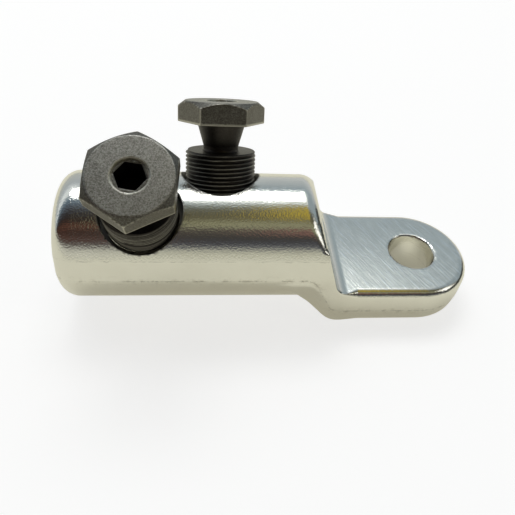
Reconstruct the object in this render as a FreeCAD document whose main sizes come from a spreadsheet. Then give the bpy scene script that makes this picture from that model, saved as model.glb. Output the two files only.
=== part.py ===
import FreeCAD, Part
import math
import os
import Sketcher

# A mechanical cable lug: one forged and bored aluminium body and two shear bolts.
# The origin is the centre of the palm hole on the contact face under the palm.
# The palm points along +X, the barrel along -X, and +Z is up through the palm hole.

doc = FreeCAD.newDocument("cable_lug")
sheet = doc.addObject("Spreadsheet::Sheet", "Sizes")

# Driving sizes in millimetres and degrees, each with what it measures.
SIZES = [
    ("barrel_diameter", 33.0, "outside of the barrel"),
    ("barrel_length", 71.8, "mouth to the foot of the shoulder wall"),
    ("mouth_rounding", 4.9, "outer edge of the mouth"),
    ("shoulder_lean", 18.0, "lean of the shoulder wall back over the barrel"),
    ("shoulder_rounding", 4.4, "edge between the barrel and the shoulder wall"),
    ("bore_diameter", 20.0, "conductor bore"),
    ("bore_floor", 14.8, "foot of the shoulder wall back to the full-width end of the bore"),
    ("bore_tip_angle", 59.0, "drill point at the bottom, from the axis"),
    ("bore_lead_in", 0.8, "chamfer at the mouth of the bore"),
    ("palm_width", 32.2, "across the palm at the parting line"),
    ("palm_thickness", 13.0, "contact face to the top of the palm"),
    ("palm_drop", 6.5, "barrel axis down to the top of the palm"),
    ("shoulder_to_hole", 24.6, "foot of the shoulder wall to the palm hole"),
    ("palm_hole_diameter", 13.0, "clears an M12 bolt"),
    ("palm_hole_edge", 0.35, "chamfer at the upper rim of the palm hole"),
    ("palm_top_edge", 2.4, "rounding along the top of the palm"),
    ("palm_foot_edge", 1.8, "bevel along the bottom of the palm"),
    ("shoulder_foot", 3.7, "hollow rounding from the shoulder wall to the palm"),
    ("parting_height", 6.0, "contact face to the parting line round the palm"),
    ("parting_top", 0.0, "parting line above the barrel axis, along the barrel"),
    ("parting_slope", 63.0, "fall of the parting line down the root"),
    ("parting_bend", 4.0, "radius of both bends of the parting line"),
    ("parting_overrun", 1.7, "foot of the shoulder wall to where the parting line levels"),
    ("lower_draft", 7.0, "lean of the forged sides below the parting line"),
    ("root_start_depth", 4.5, "underside of the root below the barrel axis, inside it"),
    ("root_slope", 50.0, "fall of the underside down the root"),
    ("root_upper_bend", 5.0, "radius of the hollow bend under the barrel"),
    ("root_lower_bend", 9.0, "radius of the bend onto the contact face"),
    ("root_overrun", 3.7, "foot of the shoulder wall to where the underside levels"),
    ("root_shelf", 5.0, "top of the sharp corners at the shoulder wall above the barrel axis"),
    ("corner_length", 6.0, "sharp corners back from the foot of the shoulder wall"),
    ("bolt_tilt", 26.5, "lean of each bolt from upright, one each way"),
    ("front_bolt_station", 21.2, "barrel mouth to the front bolt"),
    ("bolt_spacing", 19.2, "front bolt to rear bolt along the barrel"),
    ("front_tip_height", 11.2, "barrel axis to the tip of the front bolt"),
    ("rear_tip_height", 10.2, "barrel axis to the tip of the rear bolt"),
    ("front_hex_turn", 25.7, "turn of the front head about its bolt"),
    ("rear_hex_turn", 1.4, "turn of the rear head about its bolt"),
    ("thread_diameter", 18.0, "over the crests of the fine thread"),
    ("thread_length", 12.6, "threaded shank"),
    ("thread_clearance", 0.05, "radial play between shank and tapped hole"),
    ("tip_chamfer", 1.0, "end of the thread at the tip"),
    ("shank_chamfer", 0.4, "end of the thread at the neck"),
    ("mouth_clearance", 1.1, "counterbore round the shank, radial"),
    ("mouth_depth", 3.9, "counterbore below the crest of the barrel"),
    ("neck_length", 7.0, "shank to the underside of the head"),
    ("neck_top_diameter", 12.3, "neck where it meets the head"),
    ("neck_bottom_diameter", 9.0, "neck at its thinnest, where it shears"),
    ("head_height", 5.4, "hexagon head"),
    ("head_across_flats", 19.0, "hexagon head"),
    ("head_face_diameter", 18.3, "flat top of the head inside the chamfer"),
    ("head_chamfer_angle", 38.0, "slope of the chamfer from the top face"),
    ("key_across_flats", 6.0, "hexagon socket"),
    ("key_depth", 8.0, "socket below the top of the head"),
    ("key_turn", 51.0, "turn of the socket about its bolt"),
    ("key_mouth_diameter", 7.8, "round recess over the socket"),
    ("key_mouth_depth", 0.4, "round recess over the socket"),
]
for row, (name, value, note) in enumerate(SIZES, start=1):
    sheet.set(f"A{row}", note)
    sheet.set(f"B{row}", str(value))
    sheet.setAlias(f"B{row}", name)
doc.recompute()


def attach(body, name, role, station="0", lean="0"):
    """Make a sketch on one of the body's own planes.

    station shifts it along +X and lean turns it about +X, both given as expressions.
    """
    sketch = body.newObject("Sketcher::SketchObject", name)
    plane = next(item for item in body.Origin.OriginFeatures if item.Role == role)
    sketch.AttachmentSupport = [(plane, "")]
    sketch.MapMode = "FlatFace"
    along = "z" if role == "YZ_Plane" else "x"
    sketch.setExpression(f".AttachmentOffset.Base.{along}", station)
    if lean != "0":
        sketch.AttachmentOffset = FreeCAD.Placement(
            FreeCAD.Vector(0, 0, 0), FreeCAD.Rotation(FreeCAD.Vector(1, 0, 0), 1)
        )
        sketch.setExpression(".AttachmentOffset.Base.x", station)
        sketch.setExpression(".AttachmentOffset.Rotation.Angle", lean)
    doc.recompute()
    return sketch


def amount(sketch, formula):
    """The present value of a formula, as a plain number."""
    found = sketch.evalExpression(formula)
    return float(getattr(found, "Value", found))


def ends(step):
    """Which ends of a step's line or arc are its start and its finish.

    An arc always runs to the left, so one that turns to the right is drawn backwards.
    """
    return (2, 1) if len(step) == 4 and step[3] < 0 else (1, 2)


def outline(sketch, steps):
    """Draw a closed outline whose corners are all tied to formulas.

    Each step is (across, up) for a straight run to the next corner, or
    (across, up, radius, turn) for an arc, turn being +1 to the left and -1 to the right.
    """
    corners = [
        FreeCAD.Vector(amount(sketch, step[0]), amount(sketch, step[1]), 0)
        for step in steps
    ]
    for index, step in enumerate(steps):
        start = corners[index]
        end = corners[(index + 1) % len(corners)]
        if len(step) == 2:
            sketch.addGeometry(Part.LineSegment(start, end), False)
        else:
            radius = amount(sketch, step[2])
            chord = end - start
            middle = (start + end) * 0.5
            left = FreeCAD.Vector(-chord.y, chord.x, 0).normalize()
            rise = math.sqrt(max(radius**2 - (chord.Length / 2) ** 2, 0.0))
            centre = middle + left * rise * step[3]
            bulge = middle - left * step[3] * (radius - rise)
            sketch.addGeometry(Part.Arc(start, bulge, end), False)
            if (centre - sketch.Geometry[index].Center).Length > 1e-6:
                raise RuntimeError("an arc is longer than half a turn")
    for index, step in enumerate(steps):
        follower = (index + 1) % len(steps)
        sketch.addConstraint(
            Sketcher.Constraint(
                "Coincident", index, ends(step)[1], follower, ends(steps[follower])[0]
            )
        )
    for index, step in enumerate(steps):
        for kind, formula, value in (
            ("DistanceX", step[0], corners[index].x),
            ("DistanceY", step[1], corners[index].y),
        ):
            place = sketch.addConstraint(
                Sketcher.Constraint(kind, -1, 1, index, ends(step)[0], value)
            )
            if not formula.replace(".", "").isdigit():
                sketch.setExpression(f"Constraints[{place}]", formula)
        if len(step) == 4:
            place = sketch.addConstraint(
                Sketcher.Constraint("Radius", index, amount(sketch, step[2]))
            )
            sketch.setExpression(f"Constraints[{place}]", step[2])
    doc.recompute()


def turned(body, kind, name, sketch, axis, degrees=360.0, flip=False):
    """Turn a sketch about its own H_Axis or V_Axis, adding or cutting metal."""
    feature = body.newObject(kind, name)
    feature.Profile = sketch
    feature.ReferenceAxis = (sketch, [axis])
    feature.Angle = degrees
    feature.Reversed = flip
    body.Tip = feature
    doc.recompute()
    return feature


def padded(body, kind, name, sketch, length, midplane=False, flip=False):
    """Pad or pocket a sketch by a formula's length."""
    feature = body.newObject(kind, name)
    feature.Profile = sketch
    feature.Midplane = midplane
    feature.Reversed = flip
    feature.setExpression("Length", length)
    body.Tip = feature
    doc.recompute()
    return feature


# The lug body is one forging in aluminium, tin plated after it is bored and tapped.
# It is drawn from the middle of the barrel's mouth and placed by the palm hole.
BARREL_RADIUS = "Sizes.barrel_diameter / 2"
PALM_SIDE = "(Sizes.palm_width / 2)"
HOLE_STATION = "(Sizes.barrel_length + Sizes.shoulder_to_hole)"
AXIS_HEIGHT = "(Sizes.palm_drop + Sizes.palm_thickness)"
PALM_FOOT = f"(-{AXIS_HEIGHT})"
PARTING_LEVEL = f"({PALM_FOOT} + Sizes.parting_height)"
CLEAR = "Sizes.barrel_diameter"
SHOULDER_TOP = f"(Sizes.barrel_length - tan(Sizes.shoulder_lean) * ({CLEAR} + Sizes.palm_drop))"
SHOULDER_TAIL = f"(Sizes.barrel_length + tan(Sizes.shoulder_lean) * ({CLEAR} - Sizes.palm_drop))"
ROOT_START = f"(Sizes.barrel_length - {BARREL_RADIUS})"


def fall(end, low, high, slope, upper_bend, lower_bend):
    """The steps of an S that falls from a high level to a low one, which it meets at end.

    It is a bend, a straight slope and a bend the other way.
    """
    upper_drop = f"{upper_bend} * (1 - cos({slope}))"
    lower_drop = f"{lower_bend} * (1 - cos({slope}))"
    slope_foot = f"({end} - {lower_bend} * sin({slope}))"
    straight = f"(({high}) - ({low}) - {upper_drop} - {lower_drop})"
    slope_head = f"({slope_foot} - {straight} / tan({slope}))"
    return [
        (f"{slope_head} - {upper_bend} * sin({slope})", high, upper_bend, -1),
        (slope_head, f"{high} - {upper_drop}"),
        (slope_foot, f"{low} + {lower_drop}", lower_bend, 1),
        (end, low),
    ]


def make_palm_blank(body):
    """The palm and its root as a straight-sided block with a half-round end."""
    sketch = attach(body, "palm_outline", "XY_Plane")
    sketch.setExpression(".AttachmentOffset.Base.z", PALM_FOOT)
    outline(
        sketch,
        [
            (ROOT_START, f"-{PALM_SIDE}"),
            (HOLE_STATION, f"-{PALM_SIDE}", PALM_SIDE, 1),
            (f"{HOLE_STATION} + {PALM_SIDE}", "0", PALM_SIDE, 1),
            (HOLE_STATION, PALM_SIDE),
            (ROOT_START, PALM_SIDE),
        ],
    )
    padded(body, "PartDesign::Pad", "palm_blank", sketch, f"{AXIS_HEIGHT} + {BARREL_RADIUS}")


def shape_underside(body):
    """Cut the S under the root, from inside the barrel down to the contact face."""
    sketch = attach(body, "underside_profile", "XZ_Plane")
    end = "(Sizes.barrel_length + Sizes.root_overrun)"
    start = f"({ROOT_START} - {BARREL_RADIUS})"
    high = "(-Sizes.root_start_depth)"
    bends = ("Sizes.root_slope", "Sizes.root_upper_bend", "Sizes.root_lower_bend")
    outline(
        sketch,
        [(start, high)]
        + fall(end, PALM_FOOT, high, *bends)
        + [(end, f"{PALM_FOOT} - {CLEAR}"), (start, f"{PALM_FOOT} - {CLEAR}")],
    )
    padded(body, "PartDesign::Pocket", "underside", sketch, "2 * Sizes.palm_width", midplane=True)


def cut_shoulder(body):
    """Take the blank down to the palm, up to a shoulder wall that leans back.

    The wall meets the palm in a hollow rounding.
    """
    beyond = f"({HOLE_STATION} + Sizes.palm_width)"
    reach = "(Sizes.shoulder_foot * tan((90 - Sizes.shoulder_lean) / 2))"
    sketch = attach(body, "shoulder_profile", "XZ_Plane")
    outline(
        sketch,
        [
            (f"Sizes.barrel_length + {reach}", "-Sizes.palm_drop"),
            (beyond, "-Sizes.palm_drop"),
            (beyond, CLEAR),
            (SHOULDER_TOP, CLEAR),
            (
                f"Sizes.barrel_length - {reach} * sin(Sizes.shoulder_lean)",
                f"{reach} * cos(Sizes.shoulder_lean) - Sizes.palm_drop",
                "Sizes.shoulder_foot",
                1,
            ),
        ],
    )
    padded(body, "PartDesign::Pocket", "shoulder", sketch, "2 * Sizes.palm_width", midplane=True)


def rounded(body, name, edges, radius):
    """Round some edges of the body as it stands, by a size of the sheet."""
    base = body.Tip
    fillet = body.newObject("PartDesign::Fillet", name)
    fillet.Base = (base, [f"Edge{index}" for index in edges])
    fillet.setExpression("Radius", radius)
    body.Tip = fillet
    doc.recompute()


def bevelled(body, name, edges, size):
    """Bevel some edges of the body as it stands, by a size of the sheet."""
    base = body.Tip
    chamfer = body.newObject("PartDesign::Chamfer", name)
    chamfer.Base = (base, [f"Edge{index}" for index in edges])
    chamfer.setExpression("Size", size)
    body.Tip = chamfer
    doc.recompute()


SAME = 1e-3


def edges_at_level(body, level):
    """The edges of the body that lie flat at a height above the barrel's axis."""
    found = []
    for index, edge in enumerate(body.Tip.Shape.Edges, start=1):
        box = edge.BoundBox
        if box.ZLength < SAME and abs(box.ZMin - level) < SAME:
            found.append((index, box))
    return found


def palm_top_edges(body):
    """The edges round the top of the palm, without the one at the shoulder's foot."""
    foot = sheet.barrel_length + sheet.shoulder_foot
    return [index for index, box in edges_at_level(body, -sheet.palm_drop) if box.XMax > foot]


def palm_foot_edges(body):
    """The edges round the contact face, without the one across the root."""
    level = -sheet.palm_drop - sheet.palm_thickness
    return [index for index, box in edges_at_level(body, level) if box.XLength > SAME]


def draft_sides(body):
    """Lean the sides in below the parting line, which follows its own S down the root.

    Each straight side is cut along the draft, and the end is turned to match.
    """
    sketch = attach(body, "parting_profile", "XZ_Plane")
    sketch.setExpression(".AttachmentOffset.Base.z", PALM_SIDE)
    end = "(Sizes.barrel_length + Sizes.parting_overrun)"
    start = f"({ROOT_START} - {BARREL_RADIUS})"
    bends = ("Sizes.parting_slope", "Sizes.parting_bend", "Sizes.parting_bend")
    outline(
        sketch,
        [(start, "Sizes.parting_top")]
        + fall(end, PARTING_LEVEL, "Sizes.parting_top", *bends)
        + [
            (HOLE_STATION, PARTING_LEVEL),
            (HOLE_STATION, f"{PALM_FOOT} - {CLEAR}"),
            (start, f"{PALM_FOOT} - {CLEAR}"),
        ],
    )
    side = body.newObject("PartDesign::Pocket", "front_draft")
    side.Profile = sketch
    side.UseCustomVector = True
    side.AlongSketchNormal = False
    side.Direction = FreeCAD.Vector(0, math.tan(math.radians(sheet.lower_draft)), -1)
    side.setExpression("Direction.y", "tan(Sizes.lower_draft)")
    side.setExpression("Length", f"2 * {CLEAR}")
    body.Tip = side
    doc.recompute()
    mirror = body.newObject("PartDesign::Mirrored", "rear_draft")
    mirror.Originals = [side]
    plane = next(item for item in body.Origin.OriginFeatures if item.Role == "XZ_Plane")
    mirror.MirrorPlane = (plane, [""])
    body.Tip = mirror
    doc.recompute()
    turn = attach(body, "end_draft_profile", "YZ_Plane", HOLE_STATION)
    depth = "(2 * Sizes.parting_height)"
    outline(
        turn,
        [
            (PALM_SIDE, PARTING_LEVEL),
            (f"{PALM_SIDE} - tan(Sizes.lower_draft) * {depth}", f"{PARTING_LEVEL} - {depth}"),
            (f"{PALM_SIDE} + Sizes.palm_foot_edge", f"{PARTING_LEVEL} - {depth}"),
            (f"{PALM_SIDE} + Sizes.palm_foot_edge", PARTING_LEVEL),
        ],
    )
    turned(body, "PartDesign::Groove", "end_draft", turn, "V_Axis", 180.0, flip=True)


def lower_root(body):
    """Take the root's top down inside the barrel, but for the sharp corners at the wall."""
    sketch = attach(body, "shelf_profile", "XZ_Plane")
    start = f"({ROOT_START} - {BARREL_RADIUS})"
    rise = "(Sizes.barrel_length - Sizes.corner_length)"
    outline(
        sketch,
        [
            (start, "0"),
            (f"{rise} - Sizes.root_shelf", "0"),
            (rise, "Sizes.root_shelf"),
            (SHOULDER_TAIL, "Sizes.root_shelf"),
            (SHOULDER_TAIL, CLEAR),
            (start, CLEAR),
        ],
    )
    padded(body, "PartDesign::Pocket", "shelf", sketch, "2 * Sizes.palm_width", midplane=True)


def make_barrel(body):
    """The round barrel, solid, closed by a wall that leans back, with both edges rounded."""
    sketch = attach(body, "barrel_profile", "XZ_Plane")
    outline(
        sketch,
        [
            ("0", "0"),
            ("0", f"Sizes.mouth_rounding - {BARREL_RADIUS}", "Sizes.mouth_rounding", 1),
            ("Sizes.mouth_rounding", f"-{BARREL_RADIUS}"),
            (SHOULDER_TAIL, f"-{BARREL_RADIUS}"),
            (SHOULDER_TAIL, "0"),
        ],
    )
    turned(body, "PartDesign::Revolution", "barrel", sketch, "H_Axis")
    wall = attach(body, "barrel_end_profile", "XZ_Plane")
    outline(
        wall,
        [
            (SHOULDER_TAIL, f"-{CLEAR}"),
            (f"{SHOULDER_TAIL} + {CLEAR}", f"-{CLEAR}"),
            (f"{SHOULDER_TAIL} + {CLEAR}", CLEAR),
            (SHOULDER_TOP, CLEAR),
        ],
    )
    padded(body, "PartDesign::Pocket", "barrel_end", wall, f"2 * {CLEAR}", midplane=True)
    rim = [
        index
        for index, edge in enumerate(body.Tip.Shape.Edges, start=1)
        if isinstance(edge.Curve, Part.Ellipse)
    ]
    rounded(body, "shoulder_edge", rim, "Sizes.shoulder_rounding")


def drill_palm(body):
    """The palm hole, with its upper rim chamfered."""
    radius = "Sizes.palm_hole_diameter / 2"
    edge = "Sizes.palm_hole_edge"
    sketch = attach(body, "palm_hole_profile", "XZ_Plane", HOLE_STATION)
    outline(
        sketch,
        [
            ("0", PALM_FOOT),
            (radius, PALM_FOOT),
            (radius, f"-Sizes.palm_drop - {edge}"),
            (f"{radius} + {edge}", "-Sizes.palm_drop"),
            ("0", "-Sizes.palm_drop"),
        ],
    )
    turned(body, "PartDesign::Groove", "palm_hole", sketch, "V_Axis")


def bore_barrel(body):
    """The blind conductor bore, with a lead-in and the point of its drill."""
    radius = "Sizes.bore_diameter / 2"
    depth = "(Sizes.barrel_length - Sizes.bore_floor)"
    sketch = attach(body, "bore_profile", "XZ_Plane")
    outline(
        sketch,
        [
            ("0", "0"),
            (f"{depth} + {radius} / tan(Sizes.bore_tip_angle)", "0"),
            (depth, radius),
            ("Sizes.bore_lead_in", radius),
            ("0", f"{radius} + Sizes.bore_lead_in"),
        ],
    )
    turned(body, "PartDesign::Groove", "bore", sketch, "H_Axis")


def tap_barrel(body, name, station, lean):
    """One tapped hole for a bolt, opened out at its mouth round the shank."""
    hole = "(Sizes.thread_diameter / 2 + Sizes.thread_clearance)"
    mouth = "(Sizes.thread_diameter / 2 + Sizes.mouth_clearance)"
    shelf = f"({BARREL_RADIUS} - Sizes.mouth_depth)"
    sketch = attach(body, f"{name}_profile", "XZ_Plane", station, lean)
    outline(
        sketch,
        [
            ("0", "0"),
            (hole, "0"),
            (hole, f"{shelf} - ({mouth} - {hole})"),
            (mouth, shelf),
            (mouth, "Sizes.barrel_diameter"),
            ("0", "Sizes.barrel_diameter"),
        ],
    )
    turned(body, "PartDesign::Groove", name, sketch, "V_Axis")


FRONT_STATION = "Sizes.front_bolt_station"
REAR_STATION = "(Sizes.front_bolt_station + Sizes.bolt_spacing)"

lug = doc.addObject("PartDesign::Body", "lug_body")
lug.Label = "lug_body"
make_palm_blank(lug)
shape_underside(lug)
cut_shoulder(lug)
rounded(lug, "palm_top_edge", palm_top_edges(lug), "Sizes.palm_top_edge")
draft_sides(lug)
bevelled(lug, "palm_foot_edge", palm_foot_edges(lug), "Sizes.palm_foot_edge")
lower_root(lug)

barrel = doc.addObject("PartDesign::Body", "barrel_blank")
barrel.Label = "barrel_blank"
make_barrel(barrel)
joined = lug.newObject("PartDesign::Boolean", "barrel_and_palm")
joined.Type = "Fuse"
joined.Group = [barrel]
lug.Tip = joined
doc.recompute()
drill_palm(lug)
bore_barrel(lug)
tap_barrel(lug, "front_tapped_hole", FRONT_STATION, "Sizes.bolt_tilt")
tap_barrel(lug, "rear_tapped_hole", REAR_STATION, "-Sizes.bolt_tilt")
lug.setExpression("Placement.Base.x", f"-{HOLE_STATION}")
lug.setExpression("Placement.Base.z", AXIS_HEIGHT)


# The two shear bolts are alike: turned steel, a fine thread below a waisted neck that
# shears when the conductor is tight, and a hexagon head with a socket sunk in it.
SHANK_RADIUS = "Sizes.thread_diameter / 2"
HEAD_FOOT = "(Sizes.thread_length + Sizes.neck_length)"
HEAD_TOP = f"({HEAD_FOOT} + Sizes.head_height)"


def hexagon(sketch, across_flats):
    """A regular hexagon about the sketch's origin, one corner on its H_Axis."""
    corner = f"({across_flats} / 2 / cos(30))"
    outline(
        sketch,
        [
            (f"{corner} * cos({60 * index})", f"{corner} * sin({60 * index})")
            for index in range(6)
        ],
    )


def level_sketch(body, name, level, turn):
    """A sketch square to the bolt, at a level above its tip and turned about it."""
    sketch = attach(body, name, "XY_Plane")
    sketch.AttachmentOffset = FreeCAD.Placement(
        FreeCAD.Vector(0, 0, 0), FreeCAD.Rotation(FreeCAD.Vector(0, 0, 1), 1)
    )
    sketch.setExpression(".AttachmentOffset.Base.z", level)
    sketch.setExpression(".AttachmentOffset.Rotation.Angle", turn)
    doc.recompute()
    return sketch


def make_bolt(label, station, lean, tip_height, hex_turn):
    """One shear bolt, drawn upright from its tip and leaned over into its hole."""
    bolt = doc.addObject("PartDesign::Body", label)
    bolt.Label = label
    head = level_sketch(bolt, f"{label}_hexagon", HEAD_FOOT, hex_turn)
    hexagon(head, "Sizes.head_across_flats")
    padded(bolt, "PartDesign::Pad", f"{label}_head", head, "Sizes.head_height")

    corner = "(Sizes.head_across_flats / 2 / cos(30))"
    face = "Sizes.head_face_diameter / 2"
    drop = f"(({corner} + 1 - {face}) * tan(Sizes.head_chamfer_angle))"
    chamfer = attach(bolt, f"{label}_chamfer_profile", "XZ_Plane")
    outline(
        chamfer,
        [
            (face, HEAD_TOP),
            (f"{corner} + 1", f"{HEAD_TOP} - {drop}"),
            (f"{corner} + 1", HEAD_TOP),
        ],
    )
    turned(bolt, "PartDesign::Groove", f"{label}_chamfer", chamfer, "V_Axis")

    shank = attach(bolt, f"{label}_shank_profile", "XZ_Plane")
    outline(
        shank,
        [
            ("0", "0"),
            (f"{SHANK_RADIUS} - Sizes.tip_chamfer", "0"),
            (SHANK_RADIUS, "Sizes.tip_chamfer"),
            (SHANK_RADIUS, "Sizes.thread_length - Sizes.shank_chamfer"),
            (f"{SHANK_RADIUS} - Sizes.shank_chamfer", "Sizes.thread_length"),
            ("Sizes.neck_bottom_diameter / 2", "Sizes.thread_length"),
            ("Sizes.neck_top_diameter / 2", HEAD_FOOT),
            ("Sizes.neck_top_diameter / 2", f"{HEAD_FOOT} + Sizes.head_height / 2"),
            ("0", f"{HEAD_FOOT} + Sizes.head_height / 2"),
        ],
    )
    turned(bolt, "PartDesign::Revolution", f"{label}_shank", shank, "V_Axis")

    recess = attach(bolt, f"{label}_recess_profile", "XZ_Plane")
    outline(
        recess,
        [
            ("0", f"{HEAD_TOP} - Sizes.key_mouth_depth"),
            ("Sizes.key_mouth_diameter / 2", f"{HEAD_TOP} - Sizes.key_mouth_depth"),
            ("Sizes.key_mouth_diameter / 2", HEAD_TOP),
            ("0", HEAD_TOP),
        ],
    )
    turned(bolt, "PartDesign::Groove", f"{label}_recess", recess, "V_Axis")

    socket = level_sketch(bolt, f"{label}_socket_outline", HEAD_TOP, "Sizes.key_turn")
    hexagon(socket, "Sizes.key_across_flats")
    padded(bolt, "PartDesign::Pocket", f"{label}_socket", socket, "Sizes.key_depth")

    bolt.Placement = FreeCAD.Placement(
        FreeCAD.Vector(0, 0, 0), FreeCAD.Rotation(FreeCAD.Vector(1, 0, 0), 1)
    )
    bolt.setExpression("Placement.Rotation.Angle", lean)
    bolt.setExpression("Placement.Base.x", f"{station} - {HOLE_STATION}")
    bolt.setExpression("Placement.Base.y", f"-{tip_height} * sin({lean})")
    bolt.setExpression("Placement.Base.z", f"{AXIS_HEIGHT} + {tip_height} * cos({lean})")
    return bolt


front = make_bolt(
    "shear_bolt_front",
    FRONT_STATION,
    "Sizes.bolt_tilt",
    "Sizes.front_tip_height",
    "Sizes.front_hex_turn",
)
rear = make_bolt(
    "shear_bolt_rear",
    REAR_STATION,
    "(-Sizes.bolt_tilt)",
    "Sizes.rear_tip_height",
    "Sizes.rear_hex_turn",
)
doc.recompute()


def check_and_write(pieces):
    """Stop if anything in the document failed, then write each piece's solid."""
    for item in doc.Objects:
        if "Invalid" in item.State or "Error" in item.State:
            raise RuntimeError(f"{item.Label} could not be built: {item.State}")
    for piece in pieces:
        if piece.Shape.isNull() or not piece.Shape.isValid():
            raise RuntimeError(f"{piece.Label} has no sound shape")
        if len(piece.Shape.Solids) != 1:
            raise RuntimeError(f"{piece.Label} is not one solid")
    os.makedirs("parts", exist_ok=True)
    for piece in pieces:
        piece.Shape.exportStep(f"parts/{piece.Label}.step")
        box = piece.Shape.BoundBox
        print(piece.Label, round(piece.Shape.Volume, 1), box)


check_and_write([lug, front, rear])
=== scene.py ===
import math

import bpy
import numpy as np
from mathutils import Matrix, Vector


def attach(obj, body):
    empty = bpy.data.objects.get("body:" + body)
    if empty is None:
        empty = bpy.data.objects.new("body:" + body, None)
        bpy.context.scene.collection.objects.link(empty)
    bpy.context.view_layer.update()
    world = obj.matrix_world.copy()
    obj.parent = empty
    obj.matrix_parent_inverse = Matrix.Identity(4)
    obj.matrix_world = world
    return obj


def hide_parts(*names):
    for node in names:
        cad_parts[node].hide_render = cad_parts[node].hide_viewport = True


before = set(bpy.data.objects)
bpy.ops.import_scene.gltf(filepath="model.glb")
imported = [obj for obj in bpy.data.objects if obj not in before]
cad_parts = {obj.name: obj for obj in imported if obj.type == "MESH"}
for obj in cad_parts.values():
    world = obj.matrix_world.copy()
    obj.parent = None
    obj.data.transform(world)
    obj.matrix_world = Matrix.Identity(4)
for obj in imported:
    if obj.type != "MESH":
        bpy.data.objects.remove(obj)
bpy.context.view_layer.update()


# The lug body: a round barrel that drops through a shoulder to a flat palm. It is forged in
# aluminium between two dies, bored, tapped and ground on the palm, and then tin plated.
# Its skin is worked out from its sizes in millimetres and laid as one closed mesh.
MM = 0.001
BARREL_RADIUS = 16.5
AXIS_HEIGHT = 19.5
MOUTH = -96.4
MOUTH_ROUNDING = 4.9
PALM_THICKNESS = 13.0
PALM_TOP_EDGE = 2.4
PALM_FOOT_EDGE = 3.0
WALL_FOOT = -24.6
WALL_LEAN = math.radians(18)
WALL_HOLLOW = 3.7
BORE_RADIUS = 10.0
BORE_FLOOR = -39.4
BORE_LEAD_IN = 0.8
DRILL_TIP = math.radians(59)
HOLE_RADIUS = 6.5
HOLE_CHAMFER = 0.35
BOLT_LEAN = math.radians(26.5)
TAPPED_RADIUS = 9.05
TAPPED_FLOOR = 3.0
SEAT_RADIUS = 10.1
SEAT_HEIGHT = 12.0

# The line where the dies part: its two levels, and the S between them.
PARTING_FOOT = -22.9
PARTING_TOP = 19.0
PARTING_LEVEL = 6.0
PARTING_SLOPE = math.radians(63)
PARTING_BEND = 4.0
FLASH_HEIGHT = 25.1

# The flanks' drafts, and their half widths at levels over the axis: above the parting line, and
# along it. The barrel is round above FLANK_TOP, and the wall's rim is rounded more from there up.
LOWER_DRAFT = math.radians(7)
DIE_DRAFT = math.radians(9.05)
DIE_FACE = 16.208
FLANK_LEVELS = [-6.5, -4, -1, 1, 3]
FLANK_WIDTHS = [16.085, 16.13, 16.25, 16.2, 15.934]
CREASE_LEVELS = [-6.5, -4, -1, -0.5]
CREASE_WIDTHS = [16.085, 16.13, 16.25, 16.492]
FLANK_TOP = 8.0
RIM_LEVELS = [7.3, 8.0, 12.5]
RIM_ROUNDINGS = [0.4, 2.0, 4.4]

# The root between barrel and palm, and its underside, which falls in an S.
SHOULDER = (-36, -28)
ROOT_TOP = 15.0
ROOT_START = -42.0
ROOT_SINK = 0.8
ROOT_CREST = 6.8
ROOT_ROUND_FROM = 5.6
ROOT_BLEND = 1.2
UNDER_FOOT = -20.9
UNDER_SLOPE = math.radians(50)
UNDER_BENDS = (5, 9)

# Tin, bright and ground, and what darkens it: grime and creases, painted shade on an edge by the
# shoulder, and painted shade in the bolts' seats.
TIN_DARK = (0.76, 0.75, 0.69, 1)
TIN_LIGHT = (0.84, 0.835, 0.78, 1)
TIN_GROUND = (0.6, 0.6, 0.58, 1)
SCRATCHED = (0.97, 0.97, 0.97, 1)
GRIME = (0.3, 0.26, 0.17, 1)
CREASE = (0.16, 0.14, 0.1, 1)
EDGE_SHADE = (0.05, 0.055, 0.07, 1)
SEAT_SHADE = (0.11, 0.105, 0.1, 1)


def corner(first, second, radius, meet=0.0):
    """Where two faces end each other, with their edge rounded; meet is their normals' cosine."""
    a, b = first + radius, second + radius
    ahead = (a > meet * b) & (b > meet * a)
    reach = np.sqrt(np.maximum(a * a + b * b - 2 * meet * a * b, 0) / (1 - meet * meet))
    return np.where(ahead, reach - radius, np.maximum(first, second))


def hollow(first, second, radius, meet=0.0):
    """Where two faces run into each other, with the hollow between them rounded out."""
    return -corner(-first, -second, radius, meet)


def ease(value, start, end):
    """Runs smoothly from 0 at start to 1 at end."""
    t = np.clip((value - start) / (end - start), 0, 1)
    return t * t * (3 - 2 * t)


def falling(x, end, low, high, slope, upper_bend, lower_bend):
    """Height of an S that drops from high to low, which it meets at end, and its steepness."""
    foot = end - lower_bend * math.sin(slope)
    foot_height = low + lower_bend * (1 - math.cos(slope))
    head_height = high - upper_bend * (1 - math.cos(slope))
    head = foot - (head_height - foot_height) / math.tan(slope)
    start = head - upper_bend * math.sin(slope)
    upper = high - upper_bend + np.sqrt(np.maximum(upper_bend**2 - (x - start) ** 2, 0))
    lower = low + lower_bend - np.sqrt(np.maximum(lower_bend**2 - (end - x) ** 2, 0))
    height = np.select(
        [x < start, x < head, x < foot, x < end],
        [high, upper, foot_height + (foot - x) * math.tan(slope), lower],
        low,
    )
    lean = np.select(
        [x < start, x < head, x < foot, x < end],
        [0, np.arcsin(np.clip((x - start) / upper_bend, 0, 1)), slope,
         np.arcsin(np.clip((end - x) / lower_bend, 0, 1))],
        0,
    )
    return height, lean


def parting_line(x):
    """Height and steepness of the line where the dies part."""
    return falling(x, PARTING_FOOT, PARTING_LEVEL, PARTING_TOP, PARTING_SLOPE,
                   PARTING_BEND, PARTING_BEND)


def bolt_place(x, y, z, bolt):
    """How far a point lies along a bolt from the barrel's axis, and off the bolt's own axis."""
    lean = -BOLT_LEAN if bolt["leans_to_front"] else BOLT_LEAN
    up = z - AXIS_HEIGHT
    along = y * math.sin(lean) + up * math.cos(lean)
    across = y * math.cos(lean) - up * math.sin(lean)
    return along, np.hypot(x - bolt["station"], across)


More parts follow.
